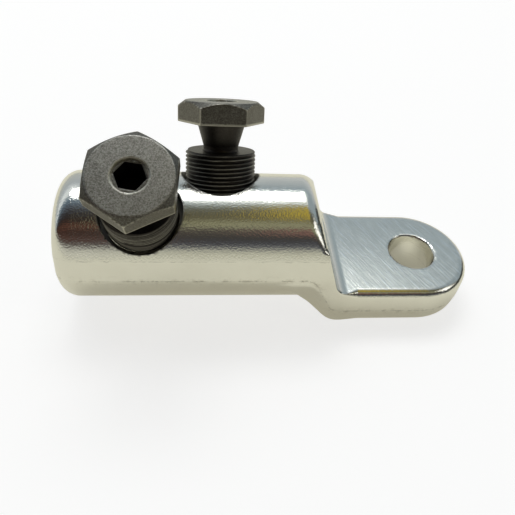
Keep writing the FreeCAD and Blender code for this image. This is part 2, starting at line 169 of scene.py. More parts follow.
FRONT_BOLT = {"station": -75.2, "leans_to_front": True, "tip": 11.2, "turn": 55.7}
REAR_BOLT = {"station": -56.0, "leans_to_front": False, "tip": 10.2, "turn": 31.4}


def lug_surface(x, y, z):
    """Distance in mm from the lug body's skin, negative in the metal."""
    side = np.abs(y)
    up = z - AXIS_HEIGHT
    out = np.hypot(side, up)
    wall = (x - WALL_FOOT) * math.cos(WALL_LEAN) + (z - PALM_THICKNESS) * math.sin(WALL_LEAN)

    # The dies part along this line. Above it the flanks are drafted faces, ground flush.
    parting, _ = parting_line(x)
    straight = (DIE_FACE - up * math.sin(DIE_DRAFT)) / math.cos(DIE_DRAFT)
    bowed = np.interp(up, FLANK_LEVELS, FLANK_WIDTHS)
    bowed = np.where(up > FLANK_LEVELS[-1], straight, bowed)
    width = straight + (bowed - straight) * ease(x, *SHOULDER)
    under_parting = np.maximum(parting - z, 0)
    at_parting = np.interp(parting - AXIS_HEIGHT, CREASE_LEVELS, CREASE_WIDTHS)
    width = np.where(z >= parting, width, at_parting - under_parting * math.tan(LOWER_DRAFT))

    rim = np.interp(up, RIM_LEVELS, RIM_ROUNDINGS)
    skin = out - BARREL_RADIUS
    flat = (z >= parting) & (up < FLANK_TOP)
    barrel = np.where(flat, np.maximum(skin, side - width), skin)
    barrel = corner(barrel, wall, rim, up / out * math.sin(WALL_LEAN))
    barrel = corner(barrel, MOUTH - x, MOUTH_ROUNDING)

    # Palm and root are one block, rounded off along both edges, and blended into the barrel.
    reach = np.where(x > 0, np.hypot(x, side), side)
    flank = np.where(up > ROOT_ROUND_FROM, np.maximum(skin, reach - width), reach - width)
    flank = flank + ROOT_SINK * (1 - ease(x, ROOT_START, SHOULDER[0]))
    under, lean = falling(x, UNDER_FOOT, 0.0, ROOT_TOP, UNDER_SLOPE, *UNDER_BENDS)
    under = (under - z) * np.cos(lean)
    top = hollow(z - PALM_THICKNESS, wall, WALL_HOLLOW, math.sin(WALL_LEAN))
    top_edge = np.interp(x, [-22.5, -19], [0.35, PALM_TOP_EDGE])
    foot_edge = np.interp(x, [-40, -24, -17], [0.5, 1.2, PALM_FOOT_EDGE])
    block = corner(corner(flank, top, top_edge), under, foot_edge)
    block = np.maximum(block, np.maximum(ROOT_START - x, up - ROOT_CREST))
    blend = ROOT_BLEND * ease(parting - z, 0, 2)
    near = np.maximum(1 - np.abs(barrel - block) / np.maximum(blend, 1e-6), 0)
    metal = np.minimum(barrel, block) - blend * near * near / 4

    # The bore with its drill point and lead-in, the bolts' holes and the palm's hole.
    tip = out - (BORE_FLOOR + BORE_RADIUS / math.tan(DRILL_TIP) - x) * math.tan(DRILL_TIP)
    bore = np.maximum(out - BORE_RADIUS, tip * math.cos(DRILL_TIP))
    lead_in = (out - BORE_RADIUS - BORE_LEAD_IN + x - MOUTH) * math.sqrt(0.5)
    metal = np.maximum(metal, -np.minimum(bore, lead_in))
    for bolt in (FRONT_BOLT, REAR_BOLT):
        along, off = bolt_place(x, y, z, bolt)
        seat = np.maximum(off - SEAT_RADIUS, SEAT_HEIGHT - along)
        thread = np.maximum(off - TAPPED_RADIUS, TAPPED_FLOOR - along)
        metal = np.maximum(metal, -np.minimum(seat, thread))
    hole = np.hypot(x, y) - HOLE_RADIUS
    chamfer = (hole - HOLE_CHAMFER + PALM_THICKNESS - z) * math.sqrt(0.5)
    return np.maximum(metal, -np.minimum(hole, chamfer))


def slopes(surface, spots, step=0.02):
    """The outward direction at each spot, from how the distance grows round it."""
    turned = np.empty_like(spots)
    for axis in range(3):
        ahead, behind = spots.copy(), spots.copy()
        ahead[:, axis] += step
        behind[:, axis] -= step
        turned[:, axis] = surface(*ahead.T) - surface(*behind.T)
    return turned / np.maximum(np.linalg.norm(turned, axis=1, keepdims=True), 1e-12)


def spaced(*spans):
    """Grid lines whose spacing changes along the piece: (start, spacing), ..., (end, 0)."""
    lines = [np.linspace(start, end, round((end - start) / step), endpoint=False)
             for (start, step), (end, _) in zip(spans, spans[1:])]
    return np.append(np.concatenate(lines), spans[-1][0])


CRISP = math.cos(math.radians(25))
EDGE_PROBE_DEPTH = 0.3
EDGE_PROBE_FULL = 0.22


def skinned(surface, lines):
    """Closed faces on the skin where surface(x, y, z) is nought: points, faces, directions, edge
    nearness.

    Every cell that the skin passes has one point, set where the faces that cross the cell
    meet, so edges stay crisp. Each face's corner takes the skin's own direction there.
    Edge nearness is 1 on an outer edge and 0 on a face; the materials paint shade and highlights by
    it.
    """
    # Where the skin crosses the grid's lines, and the ring of four cells round each crossing.
    counts = [len(line) for line in lines]
    value = surface(*np.meshgrid(*lines, indexing="ij"))
    steps = np.eye(3, dtype=int)
    crossings, rings = [], []
    for axis in range(3):
        ends = [slice(None)] * 3
        starts = list(ends)
        starts[axis], ends[axis] = slice(None, -1), slice(1, None)
        first, second = value[tuple(starts)], value[tuple(ends)]
        place = np.argwhere((first < 0) != (second < 0))
        a = first[tuple(place.T)]
        b = second[tuple(place.T)]
        rising = a < 0
        spot = np.stack([lines[across][place[:, across]] for across in range(3)], axis=1)
        near, far = spot[:, axis].copy(), lines[axis][place[:, axis] + 1]
        for _ in range(4):
            middle = near + np.clip(a / (a - b), 0.02, 0.98) * (far - near)
            spot[:, axis] = middle
            found = surface(*spot.T)
            same = (found < 0) == (a < 0)
            near, a = np.where(same, middle, near), np.where(same, found, a)
            far, b = np.where(same, far, middle), np.where(same, b, found)
        spot[:, axis] = near + a / (a - b) * (far - near)
        crossings.append(spot)
        beside, above = steps[(axis + 1) % 3], steps[(axis + 2) % 3]
        ring = np.stack([place, place - beside, place - beside - above, place - above], axis=1)
        ring = np.ravel_multi_index(ring.transpose(2, 0, 1), counts)
        rings.append(np.where(rising[:, None], ring, ring[:, ::-1]))
    crossings, rings = np.concatenate(crossings), np.concatenate(rings)

    # Each cell's point, from the flat pieces of skin at its crossings.
    normals = slopes(surface, crossings)
    cells, faces = np.unique(rings, return_inverse=True)
    faces = faces.reshape(rings.shape)
    cells = np.unravel_index(cells, counts)
    lowest = np.stack([lines[axis][cells[axis]] for axis in range(3)], axis=1)
    highest = np.stack([lines[axis][cells[axis] + 1] for axis in range(3)], axis=1)
    owner = faces.ravel()
    points = np.repeat(crossings, 4, axis=0)
    pull = np.repeat(normals, 4, axis=0)
    number = np.bincount(owner)
    centre = np.stack([np.bincount(owner, points[:, axis]) for axis in range(3)], axis=1)
    centre = centre / number[:, None]
    lift = np.einsum("ij,ij->i", pull, points - centre[owner])
    sums = np.empty((len(centre), 3, 3))
    aim = np.empty((len(centre), 3))
    for row in range(3):
        aim[:, row] = np.bincount(owner, pull[:, row] * lift)
        for column in range(3):
            sums[:, row, column] = np.bincount(owner, pull[:, row] * pull[:, column])
    sums += 0.01 * np.eye(3)
    spots = centre + np.linalg.solve(sums, aim[:, :, None])[:, :, 0]
    spots = np.clip(spots, lowest, highest)
    spots -= surface(*spots.T)[:, None] * slopes(surface, spots)

    # Directions shared round a point where the skin is smooth, and each face's own at an edge.
    own = slopes(surface, spots)
    corners = spots[faces]
    inner = (0.8 * corners + 0.2 * corners.mean(axis=1, keepdims=True)).reshape(-1, 3)
    facing = slopes(surface, inner, 0.01)
    shared = own[faces].reshape(-1, 3)
    crisp = np.einsum("ij,ij->i", facing, shared) < CRISP
    facing = np.where(crisp[:, None], facing, shared)

    # A spot just under an edge lies nearer the skin than one just under a face.
    below = surface(*(spots - own * EDGE_PROBE_DEPTH).T)
    wear = np.clip((below + EDGE_PROBE_DEPTH) / EDGE_PROBE_DEPTH / EDGE_PROBE_FULL, 0, 1)
    wear = np.bincount(owner, np.repeat(wear[faces].mean(axis=1), 4)) / number
    return spots, faces, facing, wear


def laid(name, shells, place):
    """One piece from its shells in mm, put in place by an origin and three directions."""
    origin, axes = place
    mesh = bpy.data.meshes.new(name)
    points, faces, facing, wear = [], [], [], []
    for shell in shells:
        faces += [[number + len(points) for number in face] for face in shell[1]]
        points += ((np.array(shell[0]) @ axes + origin) * MM).tolist()
        facing += (np.array(shell[2]) @ axes).tolist()
        wear += list(shell[3])
    mesh.from_pydata(points, [], faces)
    mesh.polygons.foreach_set("use_smooth", np.ones(len(faces), bool))
    mesh.normals_split_custom_set(facing)
    mesh.update()
    piece = bpy.data.objects.new(name, mesh)
    bpy.context.scene.collection.objects.link(piece)
    marked(piece, "wear", wear)
    return piece


def marked(piece, name, values):
    """Gives each point of the piece's mesh a number that its material can read."""
    piece.data.attributes.new(name, "FLOAT", "POINT").data.foreach_set("value", values)


class Value:
    """A socket of a material's nodes that can be added, multiplied and compared as a number."""

    def __init__(self, tree, socket):
        self.tree = tree
        self.socket = socket

    def node(self, kind, settings=None, **inputs):
        """Adds a node of any other type: its settings first, then its sockets' values or links."""
        made = self.tree.nodes.new(kind)
        for name, value in (settings or {}).items():
            if name == "stops":
                while len(made.color_ramp.elements) < len(value):
                    made.color_ramp.elements.new(0.5)
                for element, (place, colour) in zip(made.color_ramp.elements, value):
                    element.position = place
                    element.color = (*colour, 1.0)
            else:
                setattr(made, name, value)
        for name, value in inputs.items():
            socket = made.inputs[int(name[1:]) if name[1:].isdigit() else name.replace("_", " ")]
            if isinstance(value, Value):
                self.tree.links.new(value.socket, socket)
            else:
                socket.default_value = value
        return made

    def out(self, kind, settings=None, output=0, **inputs):
        """The same, and gives the node's output of that number."""
        return Value(self.tree, self.node(kind, settings, **inputs).outputs[output])

    def sum(self, operation, first, second=0.0):
        """One Math node on numbers."""
        return self.out("ShaderNodeMath", {"operation": operation}, i0=first, i1=second)

    def __add__(self, other):
        return self.sum("ADD", self, other)

    def __sub__(self, other):
        return self.sum("SUBTRACT", self, other)

    def __mul__(self, other):
        return self.sum("MULTIPLY", self, other)

    def __truediv__(self, other):
        return self.sum("DIVIDE", self, other)

    def __radd__(self, other):
        return self.sum("ADD", other, self)

    def __rsub__(self, other):
        return self.sum("SUBTRACT", other, self)

    def __rmul__(self, other):
        return self.sum("MULTIPLY", other, self)

    def __gt__(self, other):
        return self.sum("GREATER_THAN", self, other)

    def __lt__(self, other):
        return self.sum("LESS_THAN", self, other)

    def between(self, low, high):
        """Runs smoothly from 0 at low to 1 at high."""
        return self.out("ShaderNodeMapRange", {"interpolation_type": "SMOOTHSTEP"},
                        Value=self, From_Min=low, From_Max=high)

    def between_flat(self, low, high):
        """The value, held between low and high."""
        return self.out("ShaderNodeClamp", Value=self, Min=low, Max=high)

    def over(self, colour, other):
        """Another colour laid over a colour, by this value."""
        return self.out("ShaderNodeMix", {"data_type": "RGBA"}, 2, i0=self, i6=colour, i7=other)


def finish_for(name):
    """A new material, its shader, and a point on the piece in millimetres."""
    material = bpy.data.materials.new(name)
    material.use_nodes = True
    tree = material.node_tree
    start = Value(tree, None)
    place = start.out("ShaderNodeTexCoord", output=3)
    place = start.out("ShaderNodeVectorMath", {"operation": "SCALE"}, i0=place, Scale=1 / MM)
    return material, tree.nodes["Principled BSDF"], place


def tin_plate():
    """Bright tin over forged aluminium: finely dimpled, dark along the dies' parting lines, with
    painted shade in the bolts' seats and on an edge by the shoulder, the palm's top ground and
    scratched."""
    material, shader, place = finish_for("tinned_aluminium")
    parts = place.node("ShaderNodeSeparateXYZ", Vector=place)
    x, z = (Value(place.tree, parts.outputs[axis]) for axis in (0, 2))
    facing = place.out("ShaderNodeNewGeometry", output=1)
    upward = place.out("ShaderNodeSeparateXYZ", output=2, Vector=facing)
    palm_top = upward.between(0.8, 0.97) * x.between(-22.4, -21.6) * (1 - z.between(13.2, 13.6))
    parting, flash, seat, near_edge = (
        place.out("ShaderNodeAttribute", {"attribute_name": name}, output=2)
        for name in ("parting", "flash", "seat", "wear"))
    grain = place.out("ShaderNodeTexNoise", Vector=place, Scale=2.3, Detail=2.5, Roughness=0.5)
    ripple = place.out("ShaderNodeTexNoise", Vector=place, Scale=0.5, Detail=2.0, Roughness=0.5)
    cloud = place.out("ShaderNodeTexNoise", Vector=place, Scale=0.16, Detail=3.0)
    blotch = place.out("ShaderNodeTexNoise", Vector=place, Scale=0.55, Detail=4.0, Roughness=0.65)
    turned = place.out("ShaderNodeMapping", {"vector_type": "TEXTURE"}, Vector=place,
                       Rotation=(0, 0, math.radians(-62)), Scale=(14.0, 0.8, 1.0))
    scratch = place.out("ShaderNodeTexNoise", Vector=turned, Scale=1.6, Detail=4.0, Roughness=0.7)
    lines = scratch.between(0.52, 0.64) * palm_top
    wander = (grain - 0.5) * 1.6 + (blotch - 0.5) * 1.2
    along_parting = 1 - place.sum("ABSOLUTE", parting + wander * 0.5).between(0.04, 0.3)
    along_flash = 1 - place.sum("ABSOLUTE", flash + wander * 0.4).between(0.03, 0.2)
    crack = along_parting * blotch.between(0.36, 0.66)
    crack = crack + along_flash * blotch.between(0.4, 0.65) * 0.6
    crack = crack.between_flat(0, 1)
    colour = cloud.over(TIN_DARK, TIN_LIGHT)
    colour = (palm_top * blotch.between(0.3, 0.7) * 0.3).over(colour, TIN_GROUND)
    colour = (lines * 0.6).over(colour, SCRATCHED)
    grime = (1 - place.sum("ABSOLUTE", parting).between(0.1, 2.2)) * blotch.between(0.48, 0.68)
    colour = (grime * 0.22).over(colour, GRIME)
    colour = (crack * 0.42).over(colour, CREASE)
    # Painted shade: a dark line on the outer edges by the shoulder, just under the palm's top.
    edge_shade = near_edge.between(0.35, 0.8) * x.between(-34, -32) * (1 - x.between(-21, -20))
    edge_shade = edge_shade * z.between(12, 13)
    colour = (edge_shade * 0.8).over(colour, EDGE_SHADE)
    # Painted shade in the bolts' seats and tapped holes.
    colour = (seat * 0.9).over(colour, SEAT_SHADE)
    place.tree.links.new(colour.socket, shader.inputs["Base Color"])
    rough = 0.065 + cloud * 0.04 + grain * 0.04 + palm_top * (0.03 + blotch * 0.06)
    rough = rough - lines * 0.03 + seat * 0.3 + crack * 0.2
    place.tree.links.new(rough.socket, shader.inputs["Roughness"])
    shader.inputs["Metallic"].default_value = 1.0
    skin = ripple * 0.2 + grain * 0.4 - crack * 0.35
    height = skin * (1 - palm_top * 0.75) + scratch * palm_top * 0.25
    bump = place.out("ShaderNodeBump", Strength=1.0, Distance=0.0001, Height=height)
    place.tree.links.new(bump.socket, shader.inputs["Normal"])
    return material


forging = skinned(lug_surface, [
    spaced((-98, 0.6), (-86.5, 0.4), (-44.5, 0.5), (-15, 0.62), (18, 0)),
    spaced((-18, 0.52), (18, 0)),
    spaced((-1.5, 0.6), (12, 0.55), (26, 0.4), (37.5, 0)),
])
lug = laid("lug_forging", [forging], (np.zeros(3), np.eye(3)))

# Each point's distance from the parting line and from the dies' flash line over it, made large
# off the flanks and past the lines' ends, and whether the point is in a bolt's hole.
LARGE = 9
INNER = 12
FLASH_ENDS = (-90, -27)
x, y, z = forging[0].T
parting, lean = parting_line(x)
beyond = (np.abs(y) < INNER) | (x > INNER)
marked(lug, "parting", (z - parting) * np.cos(lean) + LARGE * beyond * np.sign(z - parting))
beyond = (np.abs(y) < INNER) | (x < FLASH_ENDS[0]) | (x > FLASH_ENDS[1])
marked(lug, "flash", z - FLASH_HEIGHT + LARGE * beyond * np.sign(z - FLASH_HEIGHT))
holes = [bolt_place(x, y, z, bolt) for bolt in (FRONT_BOLT, REAR_BOLT)]
holes = [(off < SEAT_RADIUS + 0.05) & (along > TAPPED_FLOOR) for along, off in holes]
marked(lug, "seat", np.max(holes, axis=0))

lug.data.materials.append(tin_plate())
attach(lug, "lug")
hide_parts("lug_body")


# The two shear bolts: turned from dark steel, each in one piece. A thin hexagon head has a
# hexagon socket in a round recess; under it a waist that tears off when the bolt is tight.
# They are screwed into the barrel and lean to opposite sides.
SHANK_LENGTH = 12.6
HEAD_HEIGHT = 5.4
HEAD_FLATS = 19.0
HEAD_FACE = 18.3
HEAD_CHAMFER = math.radians(38)
HEAD_SIDE_EDGE = 0.18
HEAD_TOP_EDGE = 0.15
HEAD_UNDER_EDGE = 0.2
NECK_LENGTH = 7.0
NECK_HEIGHTS = [0, 0.35, 1.2, NECK_LENGTH]
NECK_RADII = [4.8, 4.5, 4.5, 6.15]
NECK_HOLLOW = 0.25
KEY_FLATS = 6.0
KEY_DEPTH = 8.0
KEY_TURN = 81.0
KEY_MOUTH = 3.9
KEY_MOUTH_DEPTH = 0.4
KEY_EDGE = 0.12
THREAD_RADIUS = 9.0
THREAD_PITCH = 1.04
THREAD_DEPTH = 0.6
THREAD_TIP = 1.0
THREAD_TOP = 0.4

# Dark steel and its grain, with painted light on the head's top, painted shade on the shank and in
# the socket, and painted highlights on thin edges.
STEEL_DARK = (0.1, 0.093, 0.077, 1)
STEEL_LIGHT = (0.165, 0.158, 0.14, 1)
STEEL_TOP_LIT = (0.36, 0.35, 0.32, 1)
GRAIN_PALE = (0.62, 0.61, 0.56, 1)
GRAIN_DARK = (0.05, 0.047, 0.04, 1)
SHANK_SHADE = (0.03, 0.026, 0.024, 1)
EDGE_HIGHLIGHT = (0.62, 0.6, 0.52, 1)
SOCKET_SHADE = (0.02, 0.015, 0.016, 1)


def six_sides(a, b, flats, turn):
    """Distance to the nearest side of a hexagon, sides numbered from the turn in degrees."""
    angle = np.arctan2(b, a) - math.radians(turn)
    sixth = math.pi / 3
    off = angle - sixth * np.round(angle / sixth)
    return np.hypot(a, b) * np.cos(off) - flats / 2


def head_surface(turn):
    """Head, waist and the shank's top of an upright bolt whose shank ends at height 0."""

    def surface(a, b, h):
        off = np.hypot(a, b)
        under, top = NECK_LENGTH, NECK_LENGTH + HEAD_HEIGHT
        sides = six_sides(a, b, HEAD_FLATS, turn)
        slope = (off - HEAD_FACE / 2) * math.sin(HEAD_CHAMFER) + (h - top) * math.cos(HEAD_CHAMFER)
        head = corner(sides, slope, HEAD_SIDE_EDGE, 0.6)
        head = corner(head, h - top, HEAD_TOP_EDGE, 0.75)
        head = corner(head, under - h, HEAD_UNDER_EDGE)
        radius = np.interp(h, NECK_HEIGHTS, NECK_RADII)
        waist = np.maximum(off - radius, np.maximum(-1.0 - h, h - under - 1))
        metal = hollow(head, waist, NECK_HOLLOW)
        mouth = np.maximum(off - KEY_MOUTH, top - KEY_MOUTH_DEPTH - h)
        key = np.maximum(six_sides(a, b, KEY_FLATS, KEY_TURN), top - KEY_DEPTH - h)
        metal = corner(metal, -mouth, KEY_EDGE)
        metal = corner(metal, -key, KEY_EDGE)
        return np.maximum(metal, -0.5 - h)

    return surface


class Tree:
    """A Geometry Nodes tree with named inputs, whose nodes are added one by one."""

    def __init__(self, name, **inputs):
        self.tree = bpy.data.node_groups.new(name, "GeometryNodeTree")
        self.sockets = {}
        for title, value in inputs.items():
            kind = "NodeSocketInt" if isinstance(value, int) else "NodeSocketFloat"
            if isinstance(value, bpy.types.Material):
                kind = "NodeSocketMaterial"
            socket = self.tree.interface.new_socket(title, in_out="INPUT", socket_type=kind)
            self.sockets[title] = (socket.identifier, value)
        self.tree.interface.new_socket("Shell", in_out="OUTPUT", socket_type="NodeSocketGeometry")
        given = self.tree.nodes.new("NodeGroupInput")
        self.given = {title: Value(self.tree, given.outputs[title]) for title in inputs}
        self.start = Value(self.tree, None)

    def shell(self, geometry):
        """Runs the tree on an empty object and gives its plain mesh."""
        end = self.tree.nodes.new("NodeGroupOutput")
        self.tree.links.new(geometry.socket, end.inputs[0])
        holder = bpy.data.objects.new(self.tree.name, bpy.data.meshes.new(self.tree.name))
        bpy.context.scene.collection.objects.link(holder)
        grown = holder.modifiers.new("shape", "NODES")
        grown.node_group = self.tree
        for identifier, value in self.sockets.values():
            grown[identifier] = value
        seen = holder.evaluated_get(bpy.context.evaluated_depsgraph_get())
        mesh = bpy.data.meshes.new_from_object(seen)
        holder.modifiers.remove(grown)
        bpy.data.objects.remove(holder)
        return mesh


def thread_mesh(material):
    """The threaded shank, upright with its top at height 0: a right-hand helix on a grid."""
    tree = Tree("thread", Radius=THREAD_RADIUS, Depth=THREAD_DEPTH, Pitch=THREAD_PITCH,
                Length=SHANK_LENGTH, Round=72, Rows=150, Steel=material)
    radius, depth, pitch, length, rows = (
        tree.given[name] for name in ("Radius", "Depth", "Pitch", "Length", "Rows"))
    start = tree.start
    sheet = start.out("GeometryNodeMeshGrid", Size_X=1.0, Size_Y=1.0,
                      Vertices_X=tree.given["Round"], Vertices_Y=rows)
    parts = start.node("ShaderNodeSeparateXYZ", Vector=start.out("GeometryNodeInputPosition"))
    turn = Value(tree.tree, parts.outputs[0]) + 0.5
    row = (Value(tree.tree, parts.outputs[1]) + 0.5) * (rows - 1)
    height = ((row - 1) / (rows - 3)).between_flat(0, 1) * length
    wave = start.sum("FRACT", height / pitch - turn)
    tooth = start.sum("ABSOLUTE", wave * 2 - 1) * 1.5 - 0.25
    tooth = tooth.between_flat(0, 1)
    bulge = radius - depth * (1 - tooth)
    limit = start.sum("MINIMUM", radius - THREAD_TIP + height,
                      radius - THREAD_TOP + (length - height))
    bulge = start.sum("MINIMUM", bulge, limit)
    inner = (row > 0.5) * (rows - 1.5 > row)
    bulge = bulge * inner
    angle = turn * math.tau
    spot = start.out("ShaderNodeCombineXYZ", X=bulge * start.sum("COSINE", angle),
                     Y=bulge * start.sum("SINE", angle), Z=height - length)
    wear = start.out("GeometryNodeStoreNamedAttribute", {"data_type": "FLOAT", "domain": "POINT"},
                     Geometry=sheet, Name="wear", Value=tooth * inner)
    shaped = start.out("GeometryNodeSetPosition", Geometry=wear, Position=spot)
    shaped = start.out("GeometryNodeMergeByDistance", Geometry=shaped, Distance=0.0005)
    facing = start.out("GeometryNodeInputNormal")
    level = start.out("ShaderNodeSeparateXYZ", output=2, Vector=facing)
    shaped = start.out("GeometryNodeSetShadeSmooth", {"domain": "FACE"}, Geometry=shaped,
                       Shade_Smooth=start.sum("ABSOLUTE", level) < 0.98)
    shaped = start.out("GeometryNodeRealizeInstances", Geometry=shaped)
    steel = tree.given["Steel"]
    return tree.shell(start.out("GeometryNodeSetMaterial", Geometry=shaped, Material=steel))


def shank_shell(mesh):
    """The threaded shank's points, faces, directions and edge nearness."""
    points = np.empty(3 * len(mesh.vertices))
    mesh.vertices.foreach_get("co", points)
    facing = np.empty(3 * len(mesh.loops))
    mesh.corner_normals.foreach_get("vector", facing)
    wear = np.empty(len(mesh.vertices))
    mesh.attributes["wear"].data.foreach_get("value", wear)
    faces = [list(face.vertices) for face in mesh.polygons]
    return points.reshape(-1, 3), faces, facing.reshape(-1, 3), wear


def bolt_steel(name, seed, foot, axis):
    """Dark bolt steel, matt and finely grained, with painted shade on its thread, on its waist and
    in its socket, painted light on its head's top and painted highlights on its thin edges and
    thread crests."""
    material, shader, place = finish_for(name)
    lift = place.out("ShaderNodeVectorMath", {"operation": "DOT_PRODUCT"}, 1,
                     i0=place, i1=tuple(axis))
    lift = lift - float(foot @ axis)
    centre = place.out("ShaderNodeVectorMath", {"operation": "SCALE"}, i0=tuple(axis), Scale=lift)
    centre = place.out("ShaderNodeVectorMath", {"operation": "ADD"}, i0=centre, i1=tuple(foot))
    off = place.out("ShaderNodeVectorMath", {"operation": "DISTANCE"}, 1, i0=place, i1=centre)
    head = lift.between(NECK_LENGTH - 0.1, NECK_LENGTH + 0.2)
    top = lift.between(NECK_LENGTH + HEAD_HEIGHT - 0.12, NECK_LENGTH + HEAD_HEIGHT - 0.03)
    socket = (off < 3.6) * (lift < NECK_LENGTH + HEAD_HEIGHT - KEY_MOUTH_DEPTH - 0.15)
    spot = place.out("ShaderNodeVectorMath", {"operation": "ADD"},
                     i0=place, i1=(seed, seed * 0.7, 0))
    near_edge = place.out("ShaderNodeAttribute", {"attribute_name": "wear"}, output=2)
    grain = place.out("ShaderNodeTexNoise", Vector=spot, Scale=2.6, Detail=5.0, Roughness=0.85)
    cloud = place.out("ShaderNodeTexNoise", Vector=spot, Scale=0.35, Detail=3.0)
    turns = place.out("ShaderNodeTexNoise", {"noise_dimensions": "1D"},
                      W=lift * 0.5 + cloud * 0.6 + seed, Scale=1.0, Detail=2.0)
    colour = cloud.over(STEEL_DARK, STEEL_LIGHT)
    # Painted light: the head's top is paler, as if lit from above.
    colour = (top * (0.5 + cloud * 0.5)).over(colour, STEEL_TOP_LIT)
    colour = (grain.between(0.5, 0.6) * (top * 0.35 + 0.15)).over(colour, GRAIN_PALE)
    colour = ((1 - grain).between(0.5, 0.62) * 0.6).over(colour, GRAIN_DARK)
    # Painted shade: the waist and the thread are darkened all over.
    shank_shade = (1 - head) * (0.95 - cloud * 0.15)
    colour = shank_shade.over(colour, SHANK_SHADE)
    # Painted highlights along the head's thin edges and on the thread's crests.
    edge_highlight = near_edge.between(0.12, 0.5) * head * (off > 3.75)
    edge_highlight = edge_highlight * (0.2 + (off > 4.6) * 0.15 + grain * 0.9)
    in_thread = near_edge.between(0.5, 1.0) * (1 - head) * turns.between(0.36, 0.6)
    edge_highlight = edge_highlight + in_thread * (0.1 + grain * 0.6)
    edge_highlight = edge_highlight.between_flat(0, 1)
    colour = (edge_highlight * 0.75).over(colour, EDGE_HIGHLIGHT)
    colour = socket.over(colour, SOCKET_SHADE)
    place.tree.links.new(colour.socket, shader.inputs["Base Color"])
    rough = 0.36 - edge_highlight * 0.1 + grain * 0.1 + socket * 0.2
    place.tree.links.new(rough.socket, shader.inputs["Roughness"])
    shader.inputs["Metallic"].default_value = 1.0
    bump = place.out("ShaderNodeBump", Strength=0.5, Distance=0.0001, Height=grain)
    place.tree.links.new(bump.socket, shader.inputs["Normal"])
    return material


def screwed_in(name, bolt, node, body, slot, seed):
    """One bolt, made upright and leaned over into its hole."""
    level = spaced((-12, 0.28), (12, 0))
    head = skinned(head_surface(bolt["turn"]), [level, level, spaced((-1.2, 0.28), (13.3, 0))])
    lean = -BOLT_LEAN if bolt["leans_to_front"] else BOLT_LEAN
    axes = np.array([
        [1, 0, 0],
        [0, math.cos(lean), -math.sin(lean)],
        [0, math.sin(lean), math.cos(lean)],
    ])
    foot = np.array([bolt["station"], 0, AXIS_HEIGHT]) + (bolt["tip"] + SHANK_LENGTH) * axes[2]
    steel = bolt_steel(slot, seed, foot, axes[2])
    shank = thread_mesh(steel)
    piece = laid(name, [head, shank_shell(shank)], (foot, axes))
    bpy.data.meshes.remove(shank)
    piece.data.materials.append(steel)
    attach(piece, body)
    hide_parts(node)


screwed_in("front_bolt_turning", FRONT_BOLT,
           "shear_bolt_front", "front_bolt", "front_bolt_steel", 3.0)
screwed_in("rear_bolt_turning", REAR_BOLT,
           "shear_bolt_rear", "rear_bolt", "rear_bolt_steel", 11.0)


# The studio: a plain pale floor, a softbox above and behind the lug, a small one to the right,
# a wide room lamp, and a dim room in front. What the camera sees past the lug is white, and
# the floor keeps the lug's shadow.
WHITE = (1, 1, 1, 1)
FLOOR_SEEN = (0.38, 0.38, 0.38, 1)
FLOOR_TONE = (0.66, 0.64, 0.54, 1)
FLOOR_GLOW = (1, 0.97, 0.82, 1)
LAMPS_AIM = Vector((-0.04, 0, 0.02))

# The room's tones on its right and on its left, from the back, at 0.25, over the top, at 0.5,
# to the front, at 0.75, and its patches: far right, overhead, before that, and low on the right.
ROOM = [
    (0.25, (0.6, 0.62, 0.63)), (0.333, (0.42, 0.47, 0.5)), (0.375, (0.29, 0.36, 0.41)),
    (0.388, (0.5, 0.58, 0.62)), (0.402, (1.3, 1.4, 1.4)), (0.448, (1.4, 1.4, 1.4)),
    (0.459, (0.8, 0.88, 0.9)),
    (0.473, (0.4, 0.45, 0.45)), (0.488, (0.2, 0.22, 0.21)), (0.505, (0.13, 0.13, 0.1)),
    (0.545, (0.11, 0.1, 0.06)), (0.567, (0.2, 0.19, 0.12)), (0.585, (0.32, 0.32, 0.2)),
    (0.605, (0.1, 0.09, 0.075)), (0.647, (0.05, 0.047, 0.045)), (0.682, (0.07, 0.072, 0.085)),
    (0.697, (0.16, 0.165, 0.17)), (0.712, (0.42, 0.42, 0.35)), (0.75, (0.62, 0.61, 0.5)),
]
ROOM_LEFT = [
    (0.25, (0.5, 0.52, 0.5)), (0.35, (0.42, 0.46, 0.5)), (0.4, (0.8, 0.85, 0.88)),
    (0.425, (0.75, 0.8, 0.82)), (0.455, (0.14, 0.2, 0.26)),
    (0.5, (0.08, 0.09, 0.11)), (0.53, (0.035, 0.033, 0.036)), (0.575, (0.03, 0.02, 0.016)),
    (0.598, (0.11, 0.05, 0.035)), (0.62, (0.035, 0.02, 0.016)), (0.66, (0.09, 0.05, 0.04)),
    (0.69, (0.1, 0.09, 0.085)), (0.708, (0.5, 0.5, 0.44)), (0.75, (0.62, 0.61, 0.53)),
]
FAR_PATCH = (0.3, 0.36, 0.4, 1)
TOP_PATCH = (0.44, 0.34, 0.06, 1)
FORE_PATCH = (0.26, 0.13, 0.11, 1)
LOW_PATCH = (0.05, 0.055, 0.05, 1)


